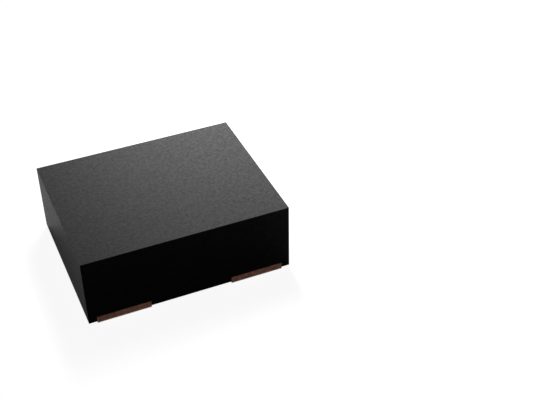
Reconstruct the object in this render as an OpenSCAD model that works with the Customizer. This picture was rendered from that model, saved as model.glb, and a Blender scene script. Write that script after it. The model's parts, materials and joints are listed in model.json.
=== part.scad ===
// Bulk acoustic wave oscillator in a moulded four-terminal package, cut to size with a saw.
// Millimetres, +Z up. The origin is under the middle of the body, on the seating plane,
// so the tinned undersides of the terminals lie at Z = 0.
// Seen from above, terminal 1 is at -X -Y, and 2, 3 and 4 follow anticlockwise.

/* [Moulded body] */
// Length of the body along X
body_length = 2.5; // [2.3:0.05:3.2]
// Width of the body along Y, between the two walls where the terminals end
body_width = 2; // [1.8:0.05:2.5]
// Height of the top above the seating plane
package_height = 0.9; // [0.8:0.01:1.2]
// Height of the moulded underside above the seating plane
stand_off = 0.025; // [0.015:0.005:0.05]

/* [Terminals] */
// Size of a solder land along X
land_width = 0.65; // [0.5:0.01:0.75]
// Size of a solder land along Y, from the sawn wall inwards
land_length = 0.7; // [0.55:0.01:0.8]
// Strip of moulding between a land and the body's short wall
land_inset = 0.1; // [0.05:0.01:0.2]
// Corner cut that marks the land of terminal 1
index_cut = 0.2; // [0.1:0.01:0.3]
// Thickness of the copper sheet that the terminals are etched from
copper_thickness = 0.2; // [0.16:0.01:0.25]
// Copper left at the sawn wall, where the sheet is etched from above
sawn_thickness = 0.08; // [0.05:0.005:0.1]
// Reach of that etched step, from the sawn wall inwards
sawn_step = 0.1; // [0.05:0.01:0.15]
// Copper left in a tongue, the inner end that is etched from below
tongue_thickness = 0.1; // [0.06:0.01:0.12]
// Gap between the tongues of neighbouring terminals
tongue_gap = 0.2; // [0.15:0.01:0.3]
// Reach of a tongue's outline over its land
tongue_root = 0.15; // [0.1:0.01:0.25]
// Corner cut at the tip of a tongue
tongue_cut = 0.1; // [0.05:0.01:0.15]
// Radius of the root that etching leaves between a wall and its floor
etch_radius = 0.05; // [0.02:0.005:0.06]
// Thickness of the tin plated on a land
tin_thickness = 0.01; // [0.005:0.001:0.014]

/* [Dies] */
// Length of the oscillator die along X
oscillator_length = 1.1; // [0.9:0.05:1.3]
// Width of the oscillator die along Y
oscillator_width = 0.8; // [0.65:0.05:1]
// Thickness of the oscillator die
oscillator_thickness = 0.15; // [0.1:0.01:0.2]
// Length of the resonator die along X
resonator_length = 0.55; // [0.4:0.01:0.65]
// Width of the resonator die along Y
resonator_width = 0.45; // [0.35:0.01:0.55]
// Thickness of the resonator die
resonator_thickness = 0.15; // [0.1:0.01:0.2]
// Shift of the resonator die towards -X, which leaves room for its wires
resonator_shift = 0.08; // [0.05:0.01:0.12]
// Distance across the film stack on the resonator die, the part of it that vibrates
stack_size = 0.22; // [0.15:0.01:0.25]
// Height of the film stack above the resonator die
stack_height = 0.012; // [0.008:0.001:0.02]
// Thickness of the film under each die
attach_thickness = 0.025; // [0.01:0.005:0.03]

/* [Bond wires] */
// Diameter of the wire
wire_diameter = 0.025; // [0.018:0.001:0.03]
// Diameter of the squashed ball at the wire's start
ball_diameter = 0.06; // [0.05:0.002:0.07]
// Height of the squashed ball
ball_height = 0.016; // [0.01:0.002:0.024]
// Height of the loop's middle line above the ball's seat
loop_height = 0.1; // [0.08:0.01:0.14]
// Radius of the bend at the top of the loop
crown_radius = 0.035; // [0.025:0.005:0.05]
// Radius of the bend where the wire comes down to its stitch
toe_radius = 0.05; // [0.03:0.005:0.06]
// Length of the flattened stitch at the wire's end
stitch_length = 0.04; // [0.03:0.005:0.06]
// Thickness of the stitch at its tip
stitch_thickness = 0.01; // [0.006:0.001:0.014]
// Width of the stitch at its tip
stitch_width = 0.04; // [0.03:0.005:0.05]
// Distance from a ball's centre to the nearest edges of its die
ball_inset = 0.07; // [0.05:0.01:0.09]
// Distance from a die's edge to the tip of a wire that comes off it
stitch_reach = 0.2; // [0.18:0.01:0.24]
// Least distance from a land's inner edges to the tip of its wire
stitch_inset = 0.1; // [0.08:0.01:0.2]
// Spacing of the resonator wires along Y
resonator_wire_pitch = 0.12; // [0.1:0.01:0.14]

/* [Hidden] */

// Signs of X and Y at the corner of each terminal, from terminal 1 on
corners = [[-1, -1], [1, -1], [1, 1], [-1, 1]];
terminal_count = len(corners);
index_terminal = 1;
resonator_wire_count = 3;

// Levels of the copper and the dies above the seating plane
copper_bottom = tin_thickness;
copper_top = copper_bottom + copper_thickness;
oscillator_bottom = copper_top + attach_thickness;
oscillator_top = oscillator_bottom + oscillator_thickness;
resonator_bottom = oscillator_top + attach_thickness;
resonator_top = resonator_bottom + resonator_thickness;

// A land's edges in the +X +Y corner
wall_y = body_width / 2;
land_inner_x = body_length / 2 - land_inset - land_width;
land_outer_x = body_length / 2 - land_inset;
land_inner_y = wall_y - land_length;

// How far a cut runs past the faces that it opens, and the sides of a full circle
cut_past = 0.1;
circle_sides = 48;

// Where the wires start and end
terminal_ball = [oscillator_length / 2 - ball_inset, oscillator_width / 2 - ball_inset];
terminal_stitch = [
    max(oscillator_length / 2 + stitch_reach, land_inner_x + stitch_inset),
    max(oscillator_width / 2 + stitch_reach, land_inner_y + stitch_inset)
];
resonator_edge_x = resonator_length / 2 - resonator_shift;

// A wire's section has flat sides below and above, so that a stitch lies flat on its seat
wire_radius = wire_diameter / 2;
ball_radius = ball_diameter / 2;
neck_height = ball_height + wire_radius;
wire_sides = 8;
wire_angles = [for (k = [0 : wire_sides - 1]) (k + 0.5) * 360 / wire_sides];
flat_share = cos(180 / wire_sides);
crown_steps = 6;
toe_steps = 4;

// The film stack lies between the resonator die's -X edge and its balls,
// with five sides of which no two are parallel, so that waves along the film don't ring in it
stack_x = -resonator_shift - (ball_inset + ball_radius) / 2;
stack_angles = [10, 80, 150, 230, 300];

mould_colour = [0.2, 0.2, 0.2];
copper_colour = [0.72, 0.45, 0.36];
tin_colour = [0.93, 0.93, 0.93];
silicon_colour = [0.42, 0.44, 0.5];
film_colour = [0.75, 0.62, 0.4];
gold_colour = [0.86, 0.68, 0.32];

// Terminals: blanks of the copper sheet, drawn in the +X +Y corner and etched from above and below

// Moves a point of the +X +Y corner to the corner of terminal i
function at_corner(i, point) = [point.x * corners[i - 1].x, point.y * corners[i - 1].y];

// Moves solids of the +X +Y corner there in the same way
module in_corner(i) {
    mirror([corners[i - 1].x < 0 ? 1 : 0, 0, 0])
        mirror([0, corners[i - 1].y < 0 ? 1 : 0, 0])
            children();
}

// Outline of a land, with the index cut on terminal 1
function land_outline(i) = let (cut = i == index_terminal ? index_cut : 0) concat(
    [[land_outer_x, wall_y], [land_inner_x, wall_y], [land_inner_x, land_inner_y]],
    cut > 0
        ? [[land_outer_x - cut, land_inner_y], [land_outer_x, land_inner_y + cut]]
        : [[land_outer_x, land_inner_y]]
);

// Outline of the tongue that reaches from the land to under the middle of the oscillator die
function tongue_outline() = let (
    tip = tongue_gap / 2,
    root_x = land_inner_x + tongue_root,
    root_y = land_inner_y + tongue_root
) [
    [tip + tongue_cut, tip], [root_x, tip], [root_x, root_y], [tip, root_y], [tip, tip + tongue_cut]
];

module layer(points, bottom, top) {
    translate([0, 0, bottom])
        linear_extrude(height = top - bottom)
            polygon(points);
}

// Cut that etching makes along X, beside a wall that looks to +Y and over a floor that looks up.
// The two meet at the origin, in a rounded root.
module etched_cut(reach, depth) {
    root = min(etch_radius, reach / 2, depth / 2);
    rotate([90, 0, 90])
        linear_extrude(height = 2 * body_length, center = true) {
            translate([root, 0])
                square([reach - root + cut_past, depth + cut_past]);
            translate([0, root])
                square([reach + cut_past, depth - root + cut_past]);
            translate([root, root])
                circle(root, $fn = circle_sides);
        }
}

// The sheet is etched from above at the sawn wall, and from below on the two inner sides of the land
module terminal(i) {
    tongue_bottom = copper_top - tongue_thickness;
    color(copper_colour)
        in_corner(i)
            difference() {
                union() {
                    layer(land_outline(i), copper_bottom, copper_top);
                    layer(tongue_outline(), copper_bottom, copper_top);
                }
                translate([0, wall_y - sawn_step, copper_bottom + sawn_thickness])
                    etched_cut(sawn_step, copper_thickness - sawn_thickness);
                translate([0, land_inner_y, tongue_bottom])
                    rotate([180, 0, 0])
                        etched_cut(land_inner_y, copper_thickness - tongue_thickness);
                translate([land_inner_x, 0, tongue_bottom])
                    rotate([180, 0, -90])
                        etched_cut(land_inner_x, copper_thickness - tongue_thickness);
            }
}

module tin_finish(i) {
    color(tin_colour)
        in_corner(i)
            layer(land_outline(i), 0, copper_bottom);
}

// Dies and the films under them

module block(length, width, bottom, top, centre_x = 0) {
    translate([centre_x - length / 2, -width / 2, bottom])
        cube([length, width, top - bottom]);
}

module oscillator_die_attach() {
    color(film_colour)
        block(oscillator_length, oscillator_width, copper_top, oscillator_bottom);
}

module oscillator_die() {
    color(silicon_colour)
        block(oscillator_length, oscillator_width, oscillator_bottom, oscillator_top);
}

module resonator_die_attach() {
    color(film_colour)
        block(resonator_length, resonator_width, oscillator_top, resonator_bottom, -resonator_shift);
}

function stack_outline() = [
    for (a = stack_angles) [stack_x + stack_size / 2 * cos(a), stack_size / 2 * sin(a)]
];

module resonator_die() {
    color(silicon_colour) {
        block(resonator_length, resonator_width, resonator_bottom, resonator_top, -resonator_shift);
        layer(stack_outline(), resonator_top - stack_height, resonator_top + stack_height);
    }
}

// Bond wires: a squashed ball, a rise, a bend at the crown, a straight flight, a bend at the toe, a stitch
// A station on the wire is [distance along the span, height, heading, half width, half height].
// Heading 90 is straight up and 0 is level, along the span.

function ball_stations(seat) = [
    [0, seat, 90, ball_radius, ball_radius],
    [0, seat + ball_height, 90, ball_radius, ball_radius],
    [0, seat + neck_height, 90, wire_radius, wire_radius]
];

// Side is 90 where the wire passes over the bend's centre, and -90 where it passes under it
function bend_stations(centre, radius, side, from, to, steps) = [
    for (k = [0 : steps])
        let (heading = from + (to - from) * k / steps)
            [
                centre.x + radius * cos(heading + side),
                centre.y + radius * sin(heading + side),
                heading, wire_radius, wire_radius
            ]
];

// The flight is the straight line that leaves the crown's circle above and meets the toe's circle below
function wire_stations(span, start, end) = let (
    crown = [crown_radius, start + loop_height - crown_radius],
    toe = [span - stitch_length, end + wire_radius + toe_radius],
    run = toe - crown,
    flight = atan2(run.y, run.x) - asin((crown_radius + toe_radius) / norm(run))
) concat(
    ball_stations(start),
    bend_stations(crown, crown_radius, 90, 90, flight, crown_steps),
    bend_stations(toe, toe_radius, -90, flight, 0, toe_steps),
    [[span, end + stitch_thickness / 2, 0, stitch_width / 2, stitch_thickness / 2]]
);

// Corners of the wire's section at a station, in the part's own coordinates
function ring(station, start, along) = [
    for (a = wire_angles)
        let (
            side = station[3] * cos(a) / flat_share,
            lift = station[4] * sin(a) / flat_share,
            run = station[0] - lift * sin(station[2])
        )
            [
                start.x + along.x * run - along.y * side,
                start.y + along.y * run + along.x * side,
                station[1] + lift * cos(station[2])
            ]
];

// Wire from a ball at start to the tip of a stitch at end, both [x, y, seat height]
module bond_wire(start, end) {
    span = norm([end.x - start.x, end.y - start.y]);
    along = [end.x - start.x, end.y - start.y] / span;
    stations = wire_stations(span, start.z, end.z);
    last = len(stations) - 1;
    points = [for (s = stations) each ring(s, start, along)];
    sides = [
        for (r = [0 : last - 1], k = [0 : wire_sides - 1])
            let (
                a = r * wire_sides + k,
                b = r * wire_sides + (k + 1) % wire_sides,
                c = a + wire_sides,
                d = b + wire_sides
            )
                each [[a, b, c], [b, d, c]]
    ];
    first_cap = [for (k = [0 : wire_sides - 1]) wire_sides - 1 - k];
    last_cap = [for (k = [0 : wire_sides - 1]) last * wire_sides + k];
    color(gold_colour)
        polyhedron(points = points, faces = concat(sides, [first_cap, last_cap]));
}

module terminal_wire(i) {
    ball = at_corner(i, terminal_ball);
    tip = at_corner(i, terminal_stitch);
    bond_wire([ball.x, ball.y, oscillator_top], [tip.x, tip.y, copper_top]);
}

module resonator_wire(k) {
    y = (k - (resonator_wire_count + 1) / 2) * resonator_wire_pitch;
    bond_wire(
        [resonator_edge_x - ball_inset, y, resonator_top],
        [resonator_edge_x + stitch_reach, y, oscillator_top]
    );
}

// The compound is moulded around everything that it holds

module moulded_body() {
    color(mould_colour)
        difference() {
            block(body_length, body_width, stand_off, package_height);
            for (i = [1 : terminal_count]) {
                terminal(i);
                terminal_wire(i);
            }
            oscillator_die_attach();
            oscillator_die();
            resonator_die_attach();
            resonator_die();
            for (k = [1 : resonator_wire_count])
                resonator_wire(k);
        }
}

moulded_body();
for (i = [1 : terminal_count]) {
    terminal(i);
    tin_finish(i);
    terminal_wire(i);
}
oscillator_die_attach();
oscillator_die();
resonator_die_attach();
resonator_die();
for (k = [1 : resonator_wire_count]) {
    resonator_wire(k);
}
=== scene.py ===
"""Looks of the moulded oscillator: camera, studio and a procedural material for each slot."""

import json
import math

import bpy
from mathutils import Matrix, Vector


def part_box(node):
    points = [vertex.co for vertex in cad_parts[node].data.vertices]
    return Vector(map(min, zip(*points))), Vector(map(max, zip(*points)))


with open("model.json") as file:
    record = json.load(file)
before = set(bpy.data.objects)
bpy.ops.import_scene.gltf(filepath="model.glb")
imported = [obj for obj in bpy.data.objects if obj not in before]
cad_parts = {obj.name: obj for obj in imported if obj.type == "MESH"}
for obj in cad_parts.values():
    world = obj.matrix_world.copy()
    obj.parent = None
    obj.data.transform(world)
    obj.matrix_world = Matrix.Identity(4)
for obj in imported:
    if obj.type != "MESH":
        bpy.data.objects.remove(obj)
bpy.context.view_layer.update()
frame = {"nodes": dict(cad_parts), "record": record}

MM = 0.001
UM = 0.000001
WHITE = (1.0, 1.0, 1.0, 1.0)

# The photograph's camera, fitted to the corners and the outline of the body
IMAGE_WIDTH = 560
FOCAL_LENGTH_PX = 1049.78
SENSOR_WIDTH = 36.0
CAMERA_PLACE = Vector((-2.702, -9.827, 8.379)) * MM
CAMERA_AZIMUTH = math.radians(-23.508)
CAMERA_ELEVATION = math.radians(37.300)
CAMERA_ROLL = math.radians(-0.585)
NEAREST_SEEN = 0.5 * MM
FARTHEST_SEEN = 1000 * MM

# Softbox above and behind the part, turned past it so that its light fades towards the left
KEY_PLACE = Vector((1.1, 3.2, 5.4)) * MM
KEY_AIM = Vector((7.2, 1.3, 0.9)) * MM
KEY_WIDTH = 3.5 * MM
KEY_POWER = 0.00079

# Light from all round that falls on matt faces, where the camera and mirrors see plain white
AMBIENT = 0.01

# White floor: its near zone under the part fades into the far zone, which is all white.
# In the near zone it has some white of its own, and gives back a share of the light that falls on it,
# each as the camera, a mirror or a matt face sees it.
FLOOR_DROP = 2 * UM
FLOOR_HALF = 100 * MM
NEAR_ZONE_END = 1.7 * MM
FAR_ZONE_START = 6.5 * MM
OWN_WHITE = {"camera": 0.93, "mirror": 0.13}
LIT_SHARE = {"camera": 0.3, "mirror": 0.8, "matt": 0.06}

# Depth within which a place counts as lying on a face of the part
ON_FACE = 2 * UM

# Share of a face's direction along Z above which it counts as looking up or down
FLAT_LIMIT = 0.7

# Levels between which most of a noise lies
NOISE_LOW = 0.3
NOISE_HIGH = 0.7


class Nodes:
    """A node tree, with short calls that add nodes to it and join them."""

    def __init__(self, tree):
        self.tree = tree

    def add(self, kind, sockets=(), **settings):
        """Adds a node. Sockets maps an input to a number, a colour or another node's output."""
        node = self.tree.nodes.new(kind)
        for name, value in settings.items():
            setattr(node, name, value)
        for name, value in dict(sockets).items():
            self.put(node.inputs[name], value)
        return node

    def put(self, socket, value):
        """Joins an input to another node's output, or sets it to a number or a colour."""
        if isinstance(value, bpy.types.NodeSocket):
            self.tree.links.new(value, socket)
        else:
            socket.default_value = value

    def calculate(self, operation, first, second=0.0):
        return self.add("ShaderNodeMath", {0: first, 1: second}, operation=operation).outputs[0]

    def remap(self, value, from_low, from_high, to_low, to_high):
        sockets = {
            "Value": value,
            "From Min": from_low,
            "From Max": from_high,
            "To Min": to_low,
            "To Max": to_high,
        }
        return self.add("ShaderNodeMapRange", sockets).outputs["Result"]

    def blend(self, share, first, second):
        """The first number where share is 0, the second where it is 1."""
        return self.remap(share, 0.0, 1.0, first, second)

    def ray_kinds(self):
        """1 for the camera's own rays, and 1 for rays that are mirrored or pass through glass."""
        path = self.add("ShaderNodeLightPath").outputs
        mirror = self.calculate("MAXIMUM", path["Is Glossy Ray"], path["Is Transmission Ray"])
        return path["Is Camera Ray"], mirror


class Surface(Nodes):
    """A material, with the textures that the part's surfaces are made from. Sizes are in micrometres."""

    def __init__(self, name):
        self.material = bpy.data.materials.new(name)
        self.material.use_nodes = True
        super().__init__(self.material.node_tree)
        coordinates = self.add("ShaderNodeTexCoord").outputs
        self.place = coordinates["Object"]
        self.facing = coordinates["Normal"]

    def shade(self, **sockets):
        """Sets inputs of the shader, with underscores for the spaces in their names."""
        shader = self.tree.nodes["Principled BSDF"]
        for name, value in sockets.items():
            self.put(shader.inputs[name.replace("_", " ")], value)

    def bump(self, height, depth, strength):
        sockets = {"Height": height, "Distance": depth * UM, "Strength": strength}
        self.shade(Normal=self.add("ShaderNodeBump", sockets).outputs["Normal"])

    def grid(self, size_x, size_y, size_z):
        """Coordinates in which the given size is one unit along each axis."""
        scale = [1 / (size * UM) for size in (size_x, size_y, size_z)]
        return self.add("ShaderNodeMapping", {"Vector": self.place, "Scale": scale}).outputs[0]

    def noise(self, size_x, size_y, size_z, detail=3.0, roughness=0.6):
        sockets = {
            "Vector": self.grid(size_x, size_y, size_z),
            "Scale": 1.0,
            "Detail": detail,
            "Roughness": roughness,
        }
        return self.add("ShaderNodeTexNoise", sockets).outputs["Fac"]

    def grains(self, size, core, rim):
        """1 in the cores of round grains about as far apart as size, 0 outside their rims."""
        sockets = {"Vector": self.grid(size, size, size), "Scale": 1.0}
        distance = self.add("ShaderNodeTexVoronoi", sockets).outputs["Distance"]
        return self.remap(distance, core, rim, 1.0, 0.0)

    def ramp(self, value, stops):
        """Colour that goes through the stops, each a place and a linear colour."""
        node = self.add("ShaderNodeValToRGB", {"Fac": value})
        elements = node.color_ramp.elements
        # A new ramp has two elements. Further ones start in the middle, and all are placed below.
        while len(elements) < len(stops):
            elements.new(0.5)
        for element, (place, colour) in zip(elements, stops):
            element.position = place
            element.color = (*colour, 1.0)
        return node.outputs["Color"]

    def vary(self, noise, low, high):
        """Number that follows a noise from low to high."""
        return self.remap(noise, NOISE_LOW, NOISE_HIGH, low, high)

    def vary_colour(self, noise, dark, light):
        """Colour that follows a noise from dark to light."""
        return self.ramp(noise, [(NOISE_LOW, dark), (NOISE_HIGH, light)])

    def blend_colours(self, share, first, second):
        """The first colour where share is 0, the second where it is 1."""
        node = self.add("ShaderNodeMix", data_type="RGBA")
        in_use = [socket for socket in node.inputs if socket.enabled]
        for socket, value in zip(in_use, (share, first, second)):
            self.put(socket, value)
        return next(socket for socket in node.outputs if socket.enabled)

    def away(self, vector, axis):
        """Distance of a place, or share of a direction, along an axis, without its sign."""
        part = self.add("ShaderNodeSeparateXYZ", {"Vector": vector}).outputs[axis]
        return self.calculate("ABSOLUTE", part)

    def flat_share(self):
        """1 on faces that look up or down, 0 on upright ones."""
        return self.calculate("GREATER_THAN", self.away(self.facing, "Z"), FLAT_LIMIT)

    def beyond(self, axis, distance):
        """1 where a place is at least that far out along an axis, on either side."""
        return self.calculate("GREATER_THAN", self.away(self.place, axis), distance - ON_FACE)


def grey(level):
    return (level, level, level)


def mould_compound():
    """Fine matte grain on the moulded faces, streaks and cut filler grains on the sawn walls."""
    surface = Surface("mould_compound")
    flat = surface.flat_share()
    grain = surface.noise(33, 33, 33, detail=4.0, roughness=0.65)
    moulded = surface.ramp(grain, [(0.25, grey(0.045)), (0.5, grey(0.08)), (0.75, grey(0.115))])
    streak = surface.noise(900, 900, 5)
    binder = surface.vary_colour(streak, grey(0.034), grey(0.046))
    large_filler = surface.grains(46, core=0.2, rim=0.3)
    small_filler = surface.grains(19, core=0.22, rim=0.34)
    filler = surface.calculate("MAXIMUM", large_filler, small_filler)
    filler_strength = 0.4
    filler_colour = (0.08, 0.08, 0.078, 1.0)
    filler_share = surface.calculate("MULTIPLY", filler, filler_strength)
    sawn = surface.blend_colours(filler_share, binder, filler_colour)
    sawn_roughness = surface.vary(streak, 0.29, 0.4)
    moulded_roughness = surface.vary(grain, 0.5, 0.7)
    surface.shade(
        Base_Color=surface.blend_colours(flat, sawn, moulded),
        Roughness=surface.blend(flat, sawn_roughness, moulded_roughness),
        Specular_IOR_Level=0.04,
        Specular_Tint=(0.1, 0.1, 0.1, 1.0),
    )
    surface.bump(surface.blend(flat, streak, grain), depth=4.0, strength=0.8)
    return surface.material


def copper():
    """Dark brown where the etch shaped it, partly oxide and partly painted shade for the unlit sides;
    bare with upright streaks where the saw cut it off.
    """
    surface = Surface("copper")
    wall_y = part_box("moulded_body")[1].y
    sawn = surface.beyond("Y", wall_y)
    streak = surface.noise(14, 60, 120, detail=4.0, roughness=0.65)
    stain = surface.noise(70, 70, 50, detail=2.0)
    stain_share = 0.4
    tone = surface.blend(stain_share, streak, stain)
    bare_stops = [
        (0.32, (0.2, 0.083, 0.059)),
        (0.5, (0.385, 0.182, 0.13)),
        (0.68, (0.54, 0.285, 0.215)),
    ]
    bare = surface.ramp(tone, bare_stops)
    # Dark brown on all faces but the sawn end: partly brown oxide, partly painted shade for the
    # terminals' unlit sides.
    dark_oxide_and_painted_shade = surface.vary_colour(stain, (0.04, 0.02, 0.014), (0.085, 0.043, 0.03))
    surface.shade(
        Base_Color=surface.blend_colours(sawn, dark_oxide_and_painted_shade, bare),
        Metallic=0.6,
        Roughness=surface.blend(sawn, 0.7, surface.vary(streak, 0.4, 0.6)),
        Specular_IOR_Level=0.1,
    )
    surface.bump(streak, depth=1.5, strength=0.5)
    return surface.material


def tin():
    """Pale matte tin with faint streaks along the part."""
    surface = Surface("tin")
    streak = surface.noise(220, 9, 9, detail=4.0)
    surface.shade(
        Base_Color=surface.vary_colour(streak, grey(0.76), (0.88, 0.88, 0.87)),
        Metallic=1.0,
        Roughness=surface.vary(streak, 0.34, 0.5),
    )
    surface.bump(streak, depth=0.8, strength=0.4)
    return surface.material


def silicon():
    """Rows of circuit blocks on the faces, saw streaks on the edges, pale metal on the film stack."""
    surface = Surface("silicon")
    flat = surface.flat_share()
    electrode = surface.beyond("Z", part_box("resonator_die")[1].z)
    sockets = {
        "Vector": surface.grid(60, 60, 60),
        "Scale": 1.0,
        "Mortar Size": 0.04,
        "Color1": (0.16, 0.17, 0.21, 1.0),
        "Color2": (0.24, 0.22, 0.26, 1.0),
        "Mortar": (0.42, 0.42, 0.44, 1.0),
    }
    circuit = surface.add("ShaderNodeTexBrick", sockets).outputs["Color"]
    streak = surface.noise(160, 160, 6)
    edge = surface.vary_colour(streak, (0.14, 0.14, 0.15), (0.26, 0.26, 0.28))
    mottle = surface.noise(25, 25, 25)
    metal = surface.vary_colour(mottle, (0.6, 0.6, 0.58), (0.74, 0.74, 0.72))
    die = surface.blend_colours(flat, edge, circuit)
    surface.shade(
        Base_Color=surface.blend_colours(electrode, die, metal),
        Metallic=surface.blend(electrode, 0.0, 0.9),
        Roughness=surface.blend(flat, 0.45, surface.vary(mottle, 0.14, 0.24)),
    )
    surface.bump(streak, depth=1.0, strength=0.2)
    return surface.material


def attach_film():
    """Cured amber film, slightly cloudy."""
    surface = Surface("attach_film")
    cloud = surface.noise(45, 45, 20)
    surface.shade(
        Base_Color=surface.vary_colour(cloud, (0.48, 0.36, 0.19), (0.7, 0.58, 0.36)),
        Roughness=surface.vary(cloud, 0.4, 0.6),
    )
    surface.bump(cloud, depth=1.0, strength=0.3)
    return surface.material


def gold():
    """Drawn gold wire with a fine uneven shine."""
    surface = Surface("gold")
    shine = surface.noise(12, 12, 12)
    surface.shade(
        Base_Color=surface.vary_colour(shine, (0.76, 0.53, 0.2), (0.9, 0.7, 0.34)),
        Metallic=1.0,
        Roughness=surface.vary(shine, 0.2, 0.35),
    )
    surface.bump(shine, depth=0.4, strength=0.3)
    return surface.material


def floor_material():
    """White with a faint shadow to the camera, with a full shadow to mirrors, dim to matt faces."""
    surface = Surface("floor")
    camera, mirror = surface.ray_kinds()
    from_middle = surface.add("ShaderNodeVectorMath", {0: surface.place}, operation="LENGTH")
    far = surface.remap(from_middle.outputs["Value"], NEAR_ZONE_END, FAR_ZONE_START, 0.0, 1.0)
    near_white = surface.blend(mirror, OWN_WHITE["camera"], OWN_WHITE["mirror"])
    seen = surface.calculate("MAXIMUM", camera, mirror)
    own_white = surface.calculate("MULTIPLY", surface.blend(far, near_white, 1.0), seen)
    plain_share = surface.blend(camera, LIT_SHARE["matt"], LIT_SHARE["camera"])
    lit_share = surface.blend(mirror, plain_share, LIT_SHARE["mirror"])
    emission = surface.add("ShaderNodeEmission", {"Strength": own_white}).outputs[0]
    diffuse = surface.add("ShaderNodeBsdfDiffuse", {"Color": lit_share}).outputs[0]
    both = surface.add("ShaderNodeAddShader", {0: emission, 1: diffuse}).outputs[0]
    surface.tree.nodes.remove(surface.tree.nodes["Principled BSDF"])
    surface.put(surface.tree.nodes["Material Output"].inputs["Surface"], both)
    surface.material.cycles.emission_sampling = "NONE"
    return surface.material


def make_floor():
    """A flat sheet just under the terminals."""
    low = -FLOOR_DROP
    corners = [(x * FLOOR_HALF, y * FLOOR_HALF, low) for x, y in ((-1, -1), (1, -1), (1, 1), (-1, 1))]
    mesh = bpy.data.meshes.new("floor")
    mesh.from_pydata(corners, [], [(0, 1, 2, 3)])
    mesh.materials.append(floor_material())
    floor = bpy.data.objects.new("floor", mesh)
    bpy.context.scene.collection.objects.link(floor)


def make_world():
    """White all round to the camera and mirrors, nearly dark to matt faces."""
    world = bpy.data.worlds.new("studio")
    world.use_nodes = True
    nodes = Nodes(world.node_tree)
    seen = nodes.calculate("MAXIMUM", *nodes.ray_kinds())
    background = world.node_tree.nodes["Background"]
    nodes.put(background.inputs["Color"], WHITE)
    nodes.put(background.inputs["Strength"], nodes.blend(seen, AMBIENT, 1.0))
    world.cycles.sampling_method = "NONE"
    bpy.context.scene.world = world


def make_key_lamp():
    """Square softbox, which the camera doesn't see."""
    data = bpy.data.lights.new("key", "AREA")
    data.size = KEY_WIDTH
    data.energy = KEY_POWER
    lamp = bpy.data.objects.new("key", data)
    lamp.location = KEY_PLACE
    lamp.rotation_euler = (KEY_AIM - KEY_PLACE).to_track_quat("-Z", "Y").to_euler()
    lamp.visible_camera = False
    bpy.context.scene.collection.objects.link(lamp)


def make_camera():
    """Places the camera by its azimuth, elevation and roll round the part."""
    data = bpy.data.cameras.new("camera")
    data.sensor_width = SENSOR_WIDTH
    data.lens = FOCAL_LENGTH_PX / IMAGE_WIDTH * SENSOR_WIDTH
    data.clip_start = NEAREST_SEEN
    data.clip_end = FARTHEST_SEEN
    camera = bpy.data.objects.new("camera", data)
    turn = Matrix.Rotation(CAMERA_AZIMUTH, 4, "Z")
    tilt = Matrix.Rotation(math.pi / 2 - CAMERA_ELEVATION, 4, "X")
    roll = Matrix.Rotation(CAMERA_ROLL, 4, "Z")
    camera.matrix_world = Matrix.Translation(CAMERA_PLACE) @ turn @ tilt @ roll
    bpy.context.scene.collection.objects.link(camera)
    bpy.context.scene.camera = camera


def dress_nodes():
    """Gives each node of the frame the material of its slot in the record."""
    makers = (mould_compound, copper, tin, silicon, attach_film, gold)
    materials = {maker.__name__: maker() for maker in makers}
    for subpart in frame["record"]["subparts"]:
        mesh = frame["nodes"][subpart["node"]].data
        mesh.materials.clear()
        mesh.materials.append(materials[subpart["material_slot"]])


make_camera()
make_world()
make_floor()
make_key_lamp()
dress_nodes()
bpy.context.scene.view_settings.view_transform = "Standard"
